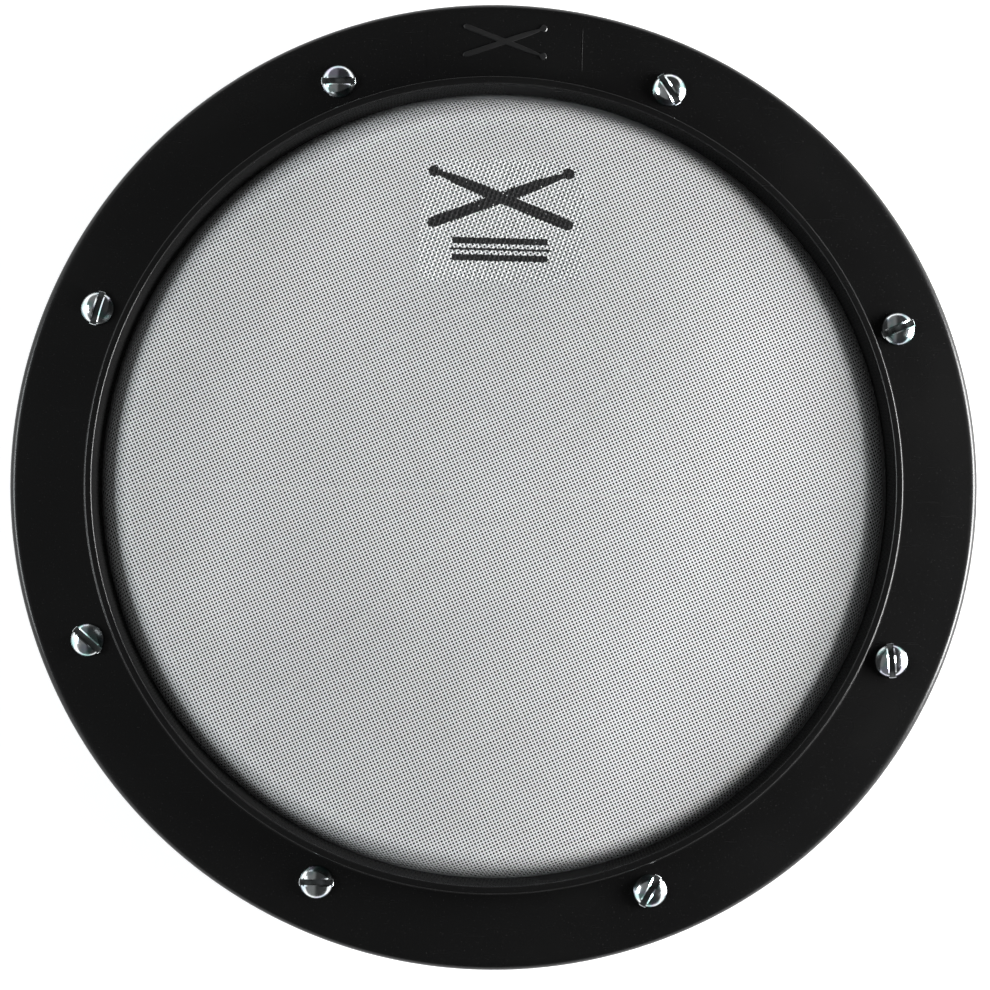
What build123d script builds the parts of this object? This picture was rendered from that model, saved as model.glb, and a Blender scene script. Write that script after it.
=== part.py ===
from build123d import *
import math
import os

# Drum practice pad, millimetres, +Z up towards the playing surface, z = 0 under the rubber foot.
# A woven mesh head is stretched over the base's rounded bearing edge. The counterhoop presses the head's
# aluminium hoop down beside that edge, and eight screws pull the counterhoop towards nuts in the base.

# Screws and their circle
SCREW_COUNT = 8
SCREW_START_DEG = 22.5
SCREW_CIRCLE_R = 114.3
SCREW_R = 2.413
SCREW_LENGTH = 25.4
SCREW_HEAD_R = 4.4
SCREW_HEAD_H = 2.4
SCREW_HEAD_RIM_H = 0.35
SLOT_W = 1.5
SLOT_DEPTH = 1.4
# The direction of each screw's slot, in degrees, as the screws happen to stand after tuning.
SLOT_ANGLES = (24.0, 124.0, 1.0, 75.0, 140.0, 1.0, 62.0, 96.0)

# Nuts, captive in hexagonal pockets of the base's bosses
NUT_FLATS = 9.525
NUT_H = 3.175
NUT_TOP_Z = 20.3
THREAD_CLEARANCE = 0.05
POCKET_CLEARANCE = 0.04

# Counterhoop
OUTER_R = 127.5
FLANGE_TOP_Z = 38.0
PLATE_T = 3.6
OUTER_EDGE_FILLET = 2.2
LIP_TOP_Z = 43.5
LIP_OUT_R = 107.4
LIP_IN_R = 105.4
LIP_FILLET = 0.5
LIP_WALL_Z = 41.6
MOUTH_R = 103.4
MOUTH_TOP_Z = 37.2
MOUTH_BOTTOM_Z = 36.0
FOOT_Z = 33.2
FOOT_IN_R = 105.6
FOOT_OUT_R = 110.2
SKIRT_T = 2.6
HOOP_SKIRT_Z = 30.0
HOOP_BOSS_R = 6.5
HOOP_BOSS_Z = 31.0
HOOP_RIB_Z = 31.8
HOOP_RIB_T = 2.0
HOOP_HOLE_R = 2.65

# Bearing edge of the base and the mesh that runs over it
SHELL_R = 102.4
WALL_T = 3.0
EDGE_R = 5.2
CREST_Z = 40.0
EDGE_INNER_R = 95.7
MESH_GAP = 0.05
MESH_T = 0.45
COLLAR_SLOPE_DEG = 60.0

# Flesh hoop: a channel, open at its top, with a resin bead in it
CHANNEL_IN_R = 103.3
CHANNEL_OUT_R = 109.2
CHANNEL_WALL = 0.7
CHANNEL_BOTTOM_Z = 26.9
CHANNEL_IN_TOP_Z = 32.8
RESIN_TOP_Z = 32.6

# Base tray
BAND_Z = 3.0
FLOOR_T = 3.0
PANEL_R = 84.0
PANEL_Z = 6.0
GROOVE_TOP_Z = 24.5
GROOVE_R = 110.6
DECK_TOP_Z = 27.8
DECK_OUT_R = 126.9
BASE_SKIRT_Z = 18.5
BOSS_R = 7.5
BOSS_BOTTOM_Z = 13.5
BOSS_BORE_R = 2.7
GUSSET_T = 2.4
HUB_R = 11.0
HUB_TOP_Z = 24.0
RIB_T = 2.2
RIB_COUNT = 8
RING_RIB_R = 50.0
RING_RIB_TOP_Z = 14.0

# Brass insert for a stand's M8 stud
INSERT_R = 5.5
INSERT_LENGTH = 14.0
INSERT_BORE_R = 3.4
INSERT_CLEARANCE = 0.02

# Rubber foot ring, glued in a shallow groove
FOOT_RING_IN_R = 86.5
FOOT_RING_OUT_R = 98.5
FOOT_GROOVE_DEPTH = 1.2
GLUE_GAP = 0.05

# Places along the flange where a boss or a rib stands, every 15 degrees
STATION_STEP_DEG = 15.0
STATIONS = [SCREW_START_DEG + STATION_STEP_DEG * step for step in range(24)]
RIB_STATIONS = [angle for step, angle in enumerate(STATIONS) if step % 3 != 0]

PLATE_BOTTOM_Z = FLANGE_TOP_Z - PLATE_T
EDGE_CENTRE_R = SHELL_R - EDGE_R
EDGE_CENTRE_Z = CREST_Z - EDGE_R


def screw_angle(index):
    """The direction of a screw from the centre, in degrees."""
    return SCREW_START_DEG + index * 360.0 / SCREW_COUNT


def screw_spot(index):
    """The place of a screw's axis, seen from above."""
    angle = math.radians(screw_angle(index))
    return SCREW_CIRCLE_R * math.cos(angle), SCREW_CIRCLE_R * math.sin(angle)


def corners(sketch, *places):
    """The vertices of a sketch at the given places of its own plane."""
    return [v for v in sketch.vertices() for x, y in places if math.hypot(v.X - x, v.Y - y) < 0.05]


def radial_plane(angle):
    """A vertical plane through the axis: its x runs outwards at the angle, and its y is up."""
    heading = math.radians(angle)
    outwards = (math.cos(heading), math.sin(heading), 0)
    sideways = (math.sin(heading), -math.cos(heading), 0)
    return Plane(origin=(0, 0, 0), x_dir=outwards, z_dir=sideways)


def finish(builder, name):
    """Label a finished piece and write its STEP file."""
    builder.part.label = name
    export_step(builder.part, f"parts/{name}.step")


os.makedirs("parts", exist_ok=True)

# ---------------------------------------------------------------- counterhoop
with BuildPart() as counterhoop:
    with BuildSketch(Plane.XZ) as hoop_section:
        with BuildLine():
            Polyline(
                (LIP_IN_R, LIP_TOP_Z),
                (LIP_OUT_R, LIP_TOP_Z),
                (LIP_OUT_R, FLANGE_TOP_Z),
                (OUTER_R, FLANGE_TOP_Z),
                (OUTER_R, HOOP_SKIRT_Z),
                (OUTER_R - SKIRT_T, HOOP_SKIRT_Z),
                (OUTER_R - SKIRT_T, PLATE_BOTTOM_Z),
                (FOOT_OUT_R, PLATE_BOTTOM_Z),
                (FOOT_OUT_R, FOOT_Z),
                (FOOT_IN_R, FOOT_Z),
                (MOUTH_R, MOUTH_BOTTOM_Z),
                (MOUTH_R, MOUTH_TOP_Z),
                (LIP_IN_R, LIP_WALL_Z),
                close=True,
            )
        make_face()
        fillet(corners(hoop_section, (LIP_IN_R, LIP_TOP_Z), (LIP_OUT_R, LIP_TOP_Z)), LIP_FILLET)
        fillet(corners(hoop_section, (OUTER_R, FLANGE_TOP_Z)), OUTER_EDGE_FILLET)
        fillet(corners(hoop_section, (LIP_OUT_R, FLANGE_TOP_Z)), 0.8)
        fillet(corners(hoop_section, (LIP_IN_R, LIP_WALL_Z), (MOUTH_R, MOUTH_TOP_Z)), 1.0)
        fillet(corners(hoop_section, (OUTER_R, HOOP_SKIRT_Z)), 0.6)
    revolve(axis=Axis.Z)
    with BuildSketch(Plane.XY.offset(HOOP_BOSS_Z)):
        with PolarLocations(SCREW_CIRCLE_R, SCREW_COUNT, start_angle=SCREW_START_DEG):
            Circle(HOOP_BOSS_R)
    extrude(until=Until.NEXT)
    with BuildSketch(Plane.XY.offset(HOOP_BOSS_Z)):
        Circle(FOOT_OUT_R)
    extrude(amount=FOOT_Z - HOOP_BOSS_Z, mode=Mode.SUBTRACT)
    for station in RIB_STATIONS:
        with BuildSketch(radial_plane(station)):
            with BuildLine():
                Polyline(
                    (FOOT_OUT_R - 0.5, PLATE_BOTTOM_Z + 0.5),
                    (OUTER_R - 1.0, PLATE_BOTTOM_Z + 0.5),
                    (OUTER_R - 1.0, HOOP_RIB_Z),
                    (FOOT_OUT_R - 0.5, FOOT_Z),
                    close=True,
                )
            make_face()
        extrude(amount=HOOP_RIB_T / 2, both=True)
    with PolarLocations(SCREW_CIRCLE_R, SCREW_COUNT, start_angle=SCREW_START_DEG):
        Hole(HOOP_HOLE_R)
    # Two crossed sticks stand a little proud of the flange, between the first two screws.
    with BuildSketch(Plane.XY.offset(FLANGE_TOP_Z - 0.2)):
        for lean in (-20.0, 20.0):
            with Locations(Location((0, 117.4, 0), lean)):
                SlotOverall(23.0, 1.5)
            tip = math.radians(lean)
            with Locations((10.6 * math.cos(tip), 117.4 + 10.6 * math.sin(tip))):
                Circle(1.3)
            with Locations((-10.6 * math.cos(tip), 117.4 - 10.6 * math.sin(tip))):
                Circle(0.9)
    extrude(amount=0.5)
    # The mould's insert leaves a fine line on each side of them.
    with BuildSketch(Plane.XY.offset(FLANGE_TOP_Z)):
        with Locations((-20.5, 115.6), (20.5, 115.6)):
            Rectangle(0.25, 11.0)
    extrude(amount=-0.15, mode=Mode.SUBTRACT)
finish(counterhoop, "counterhoop")

# ---------------------------------------------------------------- base shell
with BuildPart() as base_shell:
    with BuildSketch(Plane.XZ) as base_section:
        with BuildLine():
            Polyline(
                (0, PANEL_Z),
                (PANEL_R, PANEL_Z),
                (PANEL_R, BAND_Z),
                (SHELL_R, BAND_Z),
                (SHELL_R, GROOVE_TOP_Z - FLOOR_T),
                (GROOVE_R + WALL_T, GROOVE_TOP_Z - FLOOR_T),
                (GROOVE_R + WALL_T, DECK_TOP_Z - FLOOR_T),
                (DECK_OUT_R - SKIRT_T, DECK_TOP_Z - FLOOR_T),
                (DECK_OUT_R - SKIRT_T, BASE_SKIRT_Z),
                (DECK_OUT_R, BASE_SKIRT_Z),
                (DECK_OUT_R, DECK_TOP_Z),
                (GROOVE_R, DECK_TOP_Z),
                (GROOVE_R, GROOVE_TOP_Z),
                (SHELL_R, GROOVE_TOP_Z),
                (SHELL_R, EDGE_CENTRE_Z),
            )
            RadiusArc((SHELL_R, EDGE_CENTRE_Z), (EDGE_CENTRE_R, CREST_Z), -EDGE_R)
            Polyline(
                (EDGE_CENTRE_R, CREST_Z),
                (EDGE_INNER_R, CREST_Z),
                (EDGE_INNER_R, CREST_Z - WALL_T),
                (EDGE_CENTRE_R, CREST_Z - WALL_T),
            )
            RadiusArc(
                (EDGE_CENTRE_R, CREST_Z - WALL_T),
                (SHELL_R - WALL_T, EDGE_CENTRE_Z),
                EDGE_R - WALL_T,
            )
            Polyline(
                (SHELL_R - WALL_T, EDGE_CENTRE_Z),
                (SHELL_R - WALL_T, BAND_Z + FLOOR_T),
                (PANEL_R + WALL_T, BAND_Z + FLOOR_T),
                (PANEL_R + WALL_T, PANEL_Z + FLOOR_T),
                (0, PANEL_Z + FLOOR_T),
                (0, PANEL_Z),
            )
        make_face()
        fillet(corners(base_section, (EDGE_INNER_R, CREST_Z), (EDGE_INNER_R, CREST_Z - WALL_T)), 1.3)
        fillet(corners(base_section, (SHELL_R, BAND_Z)), 2.5)
        fillet(corners(base_section, (PANEL_R, BAND_Z), (PANEL_R, PANEL_Z)), 1.0)
        fillet(corners(base_section, (DECK_OUT_R, DECK_TOP_Z)), 1.2)
        fillet(corners(base_section, (DECK_OUT_R, BASE_SKIRT_Z)), 1.0)
        fillet(corners(base_section, (SHELL_R, GROOVE_TOP_Z - FLOOR_T)), 1.5)
        fillet(corners(base_section, (GROOVE_R, DECK_TOP_Z), (GROOVE_R, GROOVE_TOP_Z)), 0.6)
    revolve(axis=Axis.Z)
    # Nut bosses under the deck
    with BuildSketch(Plane.XY.offset(BOSS_BOTTOM_Z)):
        with PolarLocations(SCREW_CIRCLE_R, SCREW_COUNT, start_angle=SCREW_START_DEG):
            Circle(BOSS_R)
    extrude(amount=GROOVE_TOP_Z - 0.5 - BOSS_BOTTOM_Z)
    # Gussets between the wall and the flange's skirt, and one through each boss
    for station in STATIONS:
        with BuildSketch(radial_plane(station)):
            with BuildLine():
                Polyline(
                    (SHELL_R - 1.0, GROOVE_TOP_Z - 2.0),
                    (GROOVE_R + 1.0, GROOVE_TOP_Z - 2.0),
                    (GROOVE_R + 2.0, DECK_TOP_Z - 2.0),
                    (DECK_OUT_R - 1.5, DECK_TOP_Z - 2.0),
                    (DECK_OUT_R - 1.5, BASE_SKIRT_Z + 2.0),
                    (DECK_OUT_R - 6.0, BASE_SKIRT_Z + 0.5),
                    (SHELL_R + 4.0, BOSS_BOTTOM_Z - 3.0),
                    (SHELL_R - 1.0, BOSS_BOTTOM_Z - 5.0),
                    close=True,
                )
            make_face()
        extrude(amount=GUSSET_T / 2, both=True)
    # Hub, radial ribs and a ring rib on the floor
    with BuildSketch(Plane.XY.offset(PANEL_Z)):
        Circle(HUB_R)
    extrude(amount=HUB_TOP_Z - PANEL_Z)
    for rib in range(RIB_COUNT):
        with BuildSketch(radial_plane(rib * 360.0 / RIB_COUNT)):
            with BuildLine():
                Polyline(
                    (HUB_R - 2.0, PANEL_Z + 2.5),
                    (PANEL_R + 1.0, PANEL_Z + 2.5),
                    (PANEL_R + 1.0, BAND_Z + 2.5),
                    (SHELL_R - 2.5, BAND_Z + 2.5),
                    (SHELL_R - 2.5, RING_RIB_TOP_Z - 1.0),
                    (HUB_R - 2.0, HUB_TOP_Z - 3.0),
                    close=True,
                )
            make_face()
        extrude(amount=RIB_T / 2, both=True)
    with BuildSketch(Plane.XY.offset(PANEL_Z + 2.5)):
        Circle(RING_RIB_R + RIB_T / 2)
        Circle(RING_RIB_R - RIB_T / 2, mode=Mode.SUBTRACT)
    extrude(amount=RING_RIB_TOP_Z - PANEL_Z - 2.5)
    # Screw bores and, under them, the nuts' pockets
    with BuildSketch(Plane.XY.offset(BOSS_BOTTOM_Z)):
        with PolarLocations(SCREW_CIRCLE_R, SCREW_COUNT, start_angle=SCREW_START_DEG):
            RegularPolygon(NUT_FLATS / 2 + POCKET_CLEARANCE, 6, major_radius=False)
    extrude(amount=NUT_TOP_Z - BOSS_BOTTOM_Z, mode=Mode.SUBTRACT)
    with BuildSketch(Plane.XY.offset(BOSS_BOTTOM_Z)):
        with PolarLocations(SCREW_CIRCLE_R, SCREW_COUNT, start_angle=SCREW_START_DEG):
            Circle(BOSS_BORE_R)
    extrude(amount=DECK_TOP_Z - BOSS_BOTTOM_Z + 1.0, mode=Mode.SUBTRACT)
    # Blind hole for the insert, and the groove for the rubber foot
    with BuildSketch(Plane.XY.offset(PANEL_Z)):
        Circle(INSERT_R + INSERT_CLEARANCE)
    extrude(amount=INSERT_LENGTH + 2.0, mode=Mode.SUBTRACT)
    with BuildSketch(Plane.XY.offset(BAND_Z)):
        Circle(FOOT_RING_OUT_R + GLUE_GAP)
        Circle(FOOT_RING_IN_R - GLUE_GAP, mode=Mode.SUBTRACT)
    extrude(amount=FOOT_GROOVE_DEPTH, mode=Mode.SUBTRACT)
finish(base_shell, "base_shell")

# ---------------------------------------------------------------- flesh hoop and its resin
with BuildPart() as flesh_hoop:
    with BuildSketch(Plane.XZ) as channel_section:
        with BuildLine():
            Polyline(
                (CHANNEL_IN_R, CHANNEL_BOTTOM_Z),
                (CHANNEL_OUT_R, CHANNEL_BOTTOM_Z),
                (CHANNEL_OUT_R, FOOT_Z),
                (CHANNEL_OUT_R - CHANNEL_WALL, FOOT_Z),
                (CHANNEL_OUT_R - CHANNEL_WALL, CHANNEL_BOTTOM_Z + CHANNEL_WALL),
                (CHANNEL_IN_R + CHANNEL_WALL, CHANNEL_BOTTOM_Z + CHANNEL_WALL),
                (CHANNEL_IN_R + CHANNEL_WALL, CHANNEL_IN_TOP_Z),
                (CHANNEL_IN_R, CHANNEL_IN_TOP_Z),
                close=True,
            )
        make_face()
        bends = [(CHANNEL_IN_R, CHANNEL_BOTTOM_Z), (CHANNEL_OUT_R, CHANNEL_BOTTOM_Z)]
        fillet(corners(channel_section, *bends), 1.0)
    revolve(axis=Axis.Z)
finish(flesh_hoop, "flesh_hoop")

with BuildPart() as hoop_resin:
    with BuildSketch(Plane.XY.offset(CHANNEL_BOTTOM_Z + CHANNEL_WALL)):
        Circle(CHANNEL_OUT_R - CHANNEL_WALL)
        Circle(CHANNEL_IN_R + CHANNEL_WALL, mode=Mode.SUBTRACT)
    extrude(amount=RESIN_TOP_Z - CHANNEL_BOTTOM_Z - CHANNEL_WALL)
finish(hoop_resin, "hoop_resin")

# ---------------------------------------------------------------- mesh head
with BuildPart() as mesh_head:
    with BuildSketch(Plane.XY.offset(CREST_Z + MESH_GAP)):
        Circle(EDGE_CENTRE_R - MESH_GAP)
    extrude(amount=MESH_T)
finish(mesh_head, "mesh_head")

# The collar is the mesh from the crest, round the bearing edge and down a straight slope to the channel.
slope = math.radians(COLLAR_SLOPE_DEG)
collar_inner_r = EDGE_R + MESH_GAP
collar_outer_r = collar_inner_r + MESH_T
collar_end_z = FOOT_Z + 0.1


def collar_leave(radius):
    """Where a collar face leaves the bearing edge's round."""
    return EDGE_CENTRE_R + radius * math.sin(slope), EDGE_CENTRE_Z + radius * math.cos(slope)


def collar_foot(radius):
    """Where that face reaches the channel's top."""
    leave_r, leave_z = collar_leave(radius)
    return leave_r + (leave_z - collar_end_z) / math.tan(slope), collar_end_z


with BuildPart() as mesh_collar:
    with BuildSketch(Plane.XZ):
        with BuildLine():
            inner_top = (EDGE_CENTRE_R, EDGE_CENTRE_Z + collar_inner_r)
            outer_top = (EDGE_CENTRE_R, EDGE_CENTRE_Z + collar_outer_r)
            RadiusArc(inner_top, collar_leave(collar_inner_r), collar_inner_r)
            Polyline(
                collar_leave(collar_inner_r),
                collar_foot(collar_inner_r),
                collar_foot(collar_outer_r),
                collar_leave(collar_outer_r),
            )
            RadiusArc(collar_leave(collar_outer_r), outer_top, -collar_outer_r)
            Line(outer_top, inner_top)
        make_face()
    revolve(axis=Axis.Z)
finish(mesh_collar, "mesh_collar")

# ---------------------------------------------------------------- screws and nuts
cap_drop = SCREW_HEAD_H - SCREW_HEAD_RIM_H
cap_r = (SCREW_HEAD_R**2 + cap_drop**2) / (2 * cap_drop)

for index in range(SCREW_COUNT):
    x, y = screw_spot(index)
    seat = Plane(origin=(x, y, FLANGE_TOP_Z))
    with BuildPart() as tension_screw:
        with BuildSketch(Plane(origin=(x, y, FLANGE_TOP_Z), x_dir=(1, 0, 0), z_dir=(0, -1, 0))):
            with BuildLine():
                Polyline((0, SCREW_HEAD_H), (0, 0), (SCREW_HEAD_R, 0), (SCREW_HEAD_R, SCREW_HEAD_RIM_H))
                RadiusArc((SCREW_HEAD_R, SCREW_HEAD_RIM_H), (0, SCREW_HEAD_H), -cap_r)
            make_face()
        revolve(axis=Axis((x, y, 0), (0, 0, 1)))
        with BuildSketch(seat):
            Circle(SCREW_R)
        extrude(amount=-SCREW_LENGTH)
        chamfer(tension_screw.edges().group_by(Axis.Z)[0], 0.6)
        with BuildSketch(seat.offset(SCREW_HEAD_H)):
            Rectangle(2.5 * SCREW_HEAD_R, SLOT_W, rotation=SLOT_ANGLES[index])
        extrude(amount=-SLOT_DEPTH, mode=Mode.SUBTRACT)
    finish(tension_screw, f"tension_screw_{index + 1}")

    with BuildPart() as hex_nut:
        with BuildSketch(Plane(origin=(x, y, NUT_TOP_Z))):
            RegularPolygon(NUT_FLATS / 2, 6, major_radius=False, rotation=screw_angle(index))
            Circle(SCREW_R + THREAD_CLEARANCE, mode=Mode.SUBTRACT)
        extrude(amount=-NUT_H)
    finish(hex_nut, f"hex_nut_{index + 1}")

# ---------------------------------------------------------------- stand insert and rubber foot
with BuildPart() as stand_insert:
    with BuildSketch(Plane.XY.offset(PANEL_Z)):
        Circle(INSERT_R)
        Circle(INSERT_BORE_R, mode=Mode.SUBTRACT)
    extrude(amount=INSERT_LENGTH)
finish(stand_insert, "stand_insert")

with BuildPart() as foot_ring:
    with BuildSketch():
        Circle(FOOT_RING_OUT_R)
        Circle(FOOT_RING_IN_R, mode=Mode.SUBTRACT)
    extrude(amount=BAND_Z + FOOT_GROOVE_DEPTH)
    fillet(foot_ring.edges().group_by(Axis.Z)[0], 0.8)
finish(foot_ring, "foot_ring")
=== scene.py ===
"""Drum practice pad: a woven mesh head under a screwed counterhoop, on a ribbed plastic base.

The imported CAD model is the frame. Visible shapes are rebuilt here in finer mesh code. Sizes are in
millimetres, and MM turns them into metres where a mesh is made.
"""

import math

import bmesh
import bpy
import numpy as np
from mathutils import Matrix, Vector


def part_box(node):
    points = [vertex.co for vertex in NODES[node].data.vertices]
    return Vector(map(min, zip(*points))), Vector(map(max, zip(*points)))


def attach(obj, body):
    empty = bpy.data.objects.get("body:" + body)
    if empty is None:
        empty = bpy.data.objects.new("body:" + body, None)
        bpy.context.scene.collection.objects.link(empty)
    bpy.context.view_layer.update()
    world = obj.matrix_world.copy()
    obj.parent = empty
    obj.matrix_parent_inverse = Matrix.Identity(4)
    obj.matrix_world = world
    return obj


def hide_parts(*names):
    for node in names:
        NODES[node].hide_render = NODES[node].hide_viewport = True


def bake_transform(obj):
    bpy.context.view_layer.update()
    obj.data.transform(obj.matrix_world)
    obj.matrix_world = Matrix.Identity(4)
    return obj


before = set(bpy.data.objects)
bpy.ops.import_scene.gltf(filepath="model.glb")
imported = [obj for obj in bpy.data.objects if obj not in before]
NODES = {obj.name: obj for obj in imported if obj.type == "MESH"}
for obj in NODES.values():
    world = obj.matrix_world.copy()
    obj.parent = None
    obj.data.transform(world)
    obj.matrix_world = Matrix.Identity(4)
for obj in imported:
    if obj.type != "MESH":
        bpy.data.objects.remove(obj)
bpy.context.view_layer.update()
MM = 0.001

# ---------------------------------------------------------------- sizes taken from the CAD nodes
SCREW_COUNT = 8
SCREW_BOXES = [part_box(f"tension_screw_{n + 1}") for n in range(SCREW_COUNT)]
NUT_BOXES = [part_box(f"hex_nut_{n + 1}") for n in range(SCREW_COUNT)]

# ---------------------------------------------------------------- ring, millimetres
FLANGE_TOP_Z = 38.0
SCREW_START_DEG = 22.5
# The section's corners: radius, height and fillet.
RING_SECTION = (
    (105.4, 43.5, 0.5), (107.4, 43.5, 0.5), (107.4, 38.0, 0.8), (127.5, 38.0, 2.2), (127.5, 30.0, 0.6),
    (124.9, 30.0, 0.3), (124.9, 34.4, 0.8), (110.2, 34.4, 0.4), (110.2, 33.2, 0.2), (105.6, 33.2, 0.2),
    (103.4, 36.0, 0.2), (103.4, 37.2, 1.0), (105.4, 41.6, 1.0),
)
RING_SEGMENTS = 720
RING_SHARP_DEG = 28.0
BOSS_R = 6.5
BOSS_INNER_R = 110.5
BOSS_Z = (31.0, 34.9)
SCREW_HOLE_R = 2.65
SCREW_HOLE_Z = (28.0, 40.0)
RIB_PROFILE = ((109.7, 34.9), (126.4, 34.9), (126.4, 31.8), (109.7, 33.2))
RIB_HALF_W = 1.0
RIB_STEP_DEG = 15.0

EMBLEM_Y = 117.4
EMBLEM_HALF = (13.0, 6.0)
EMBLEM_LEAN_DEG = 20.0
# A stick's length, then the half widths of its shaft and of its bead.
RELIEF_STICK = (23.6, 0.78, 1.05)
RELIEF_H = 0.26
RELIEF_ROOT = 0.05
RELIEF_TAPER = 0.21
# Each line's x, half width and height.
MOULD_LINES = ((-20.5, 0.03, 0.03), (20.5, 0.065, 0.06))
MOULD_LINE_Y = (110.1, 121.1)
MOULD_LINE_CREST = 0.01
MOULD_LINE_ROOT = 0.02

# ---------------------------------------------------------------- screws and nuts, millimetres
SCREW_HEAD_R = 4.4
SCREW_HEAD_H = 2.4
SCREW_HEAD_RIM = 0.35
SCREW_SEAT_CHAMFER = (0.15, 0.12)
SCREW_R = 2.413
SCREW_MINOR_R = 1.95
SCREW_TIP_R = 1.6
SCREW_PITCH = 25.4 / 32
SCREW_LENGTH = 25.4
SLOT_W = 1.5
SLOT_DEPTH = 1.4
SLOT_FLOOR_Z = SCREW_HEAD_H - SLOT_DEPTH
SLOT_REACH = 6.0
SLOT_STATIONS = 61
SLOT_CHAMFER = 0.36
SLOT_CHAMFER_LEAN = math.radians(40.0)
SLOT_ANGLES = (24.0, 124.0, 1.0, 75.0, 140.0, 1.0, 62.0, 96.0)
BURR = 0.13
BURR_EASE = 0.24
BURR_ROOT = 1.0
BURR_Z = (0.15, SLOT_FLOOR_Z - 0.10, SLOT_FLOOR_Z + 0.14)
BURR_STEPS = 6
BURR_STEP = 0.035
NUT_FLATS = 9.525
NUT_H = 3.175
NUT_BORE_R = 2.47
NUT_SINK_R = 2.85
NUT_SINK_H = 0.35
NUT_CHAMFER_R = 4.6
NUT_CHAMFER_LEAN = math.radians(30)
NUT_BODY_R = 5.0

# ---------------------------------------------------------------- insert and foot, millimetres
INSERT_R = 5.48
INSERT_Z = (6.0, 20.0)
KNURL_BANDS = ((7.2, 12.2), (13.8, 18.8))
KNURL_TEETH = 22
KNURL_TWIST = 1.9
KNURL_DEPTH = 0.616
KNURL_STEP = 0.25
TAP_R = 4.0
TAP_MINOR_R = 3.42
TAP_PITCH = 1.25
TAP_Z = (4.0, 22.0)
LEAD_R = 4.1
LEAD_Z = (5.0, 6.35)
FOOT_R = (86.5, 98.5)
FOOT_TOP_Z = 4.2
FOOT_EASE = 0.8
GROOVES_R = (89.0, 90.75, 92.5, 94.25, 96.0)
GROOVE_MOUTH = 0.45
GROOVE_FLOOR = 0.2
GROOVE_DEPTH = 0.5

# ---------------------------------------------------------------- mesh head, millimetres
EDGE_CENTRE_R = 97.2
EDGE_CENTRE_Z = 34.8
EDGE_R = 5.2
COLLAR_SLOPE = math.radians(60.0)
COLLAR_END_Z = 33.3

PITCH = 0.857
THREAD_W = 0.345
WARP_DEG = 26.4
WEFT_DEG = -64.2
CLOTH_R = 111.5
CLOTH_LIFT = 0.27
WEAVE_RISE = 0.11
THREAD_ROUND = 0.075
THREAD_DRIFT = 0.012
THREAD_BOW = 0.010
BOW_RATE = 0.045

MARK_CENTRE_Y = 69.5
MARK_HALF = (21.5, 16.0)
MARK_FINENESS = 4
# Length and half widths, as for RELIEF_STICK.
PRINTED_STICK = (41.0, 1.45, 1.55)
PRINTED_STICKS_Y = 75.5
PRINTED_LEAN_DEG = 21.0
BARS_Y = 61.8
BAR_OFFSET = 2.25
BAR_HALF = (12.6, 0.85)
RULE_HALF = (13.2, 0.3)
INK_MISSES = 0.003

rng = np.random.default_rng(20)


# ---------------------------------------------------------------- mesh helpers
def add_object(name, data):
    """A new object in the scene."""
    obj = bpy.data.objects.new(name, data)
    bpy.context.scene.collection.objects.link(obj)
    return obj


def add_mesh(name, verts, faces):
    """A smooth mesh object from arrays, in metres."""
    mesh = bpy.data.meshes.new(name)
    verts = np.asarray(verts, np.float32)
    faces = np.asarray(faces, np.int32)
    mesh.vertices.add(len(verts))
    mesh.vertices.foreach_set("co", verts.ravel())
    corners = faces.shape[1]
    mesh.loops.add(faces.size)
    mesh.loops.foreach_set("vertex_index", faces.ravel())
    mesh.polygons.add(len(faces))
    mesh.polygons.foreach_set("loop_start", np.arange(0, faces.size, corners, dtype=np.int32))
    mesh.polygons.foreach_set("use_smooth", np.full(len(faces), True))
    mesh.update(calc_edges=True)
    mesh.validate()
    return add_object(name, mesh)


def rounded(corners, steps):
    """A closed section whose corners (r, z, fillet) are rounded, as a list of (r, z)."""
    points = []
    count = len(corners)
    for index, (r, z, fillet) in enumerate(corners):
        here = np.array((r, z))
        before = np.array(corners[index - 1][:2])
        after = np.array(corners[(index + 1) % count][:2])
        if fillet <= 0:
            points.append(here)
            continue
        back = (before - here) / np.linalg.norm(before - here)
        ahead = (after - here) / np.linalg.norm(after - here)
        half = math.acos(float(np.clip(back @ ahead, -1, 1))) / 2
        reach = fillet / math.tan(half)
        middle = (back + ahead) / np.linalg.norm(back + ahead)
        centre = here + middle * fillet / math.sin(half)
        start = here + back * reach - centre
        end = here + ahead * reach - centre
        angle = math.atan2(start[0] * end[1] - start[1] * end[0], float(start @ end))
        for step in range(steps + 1):
            turn = angle * step / steps
            spin = np.array(((math.cos(turn), -math.sin(turn)), (math.sin(turn), math.cos(turn))))
            points.append(centre + spin @ start)
    return [(float(p[0]), float(p[1])) for p in points]


def lathe(name, section, segments, closed=True, shape=None, sharp_deg=40.0):
    """A section of (r, z) turned round the vertical axis, then bent by shape(r, z, angle) where given."""
    section = np.array(section, float)
    count = len(section)
    angles = np.arange(segments) * 2 * math.pi / segments
    r = np.repeat(section[None, :, 0], segments, 0)
    z = np.repeat(section[None, :, 1], segments, 0)
    a = np.repeat(angles[:, None], count, 1)
    if shape is not None:
        r, z = shape(r, z, a)
    verts = np.stack((r * np.cos(a), r * np.sin(a), z), -1).reshape(-1, 3) * MM
    faces = []
    here = np.arange(segments) * count
    after = np.roll(here, -1)
    for k in range(count if closed else count - 1):
        up = (k + 1) % count
        faces.append(np.stack((here + k, after + k, after + up, here + up), -1))
    obj = add_mesh(name, verts, np.concatenate(faces))
    tidy_normals(obj, sharp_deg)
    return obj


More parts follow.
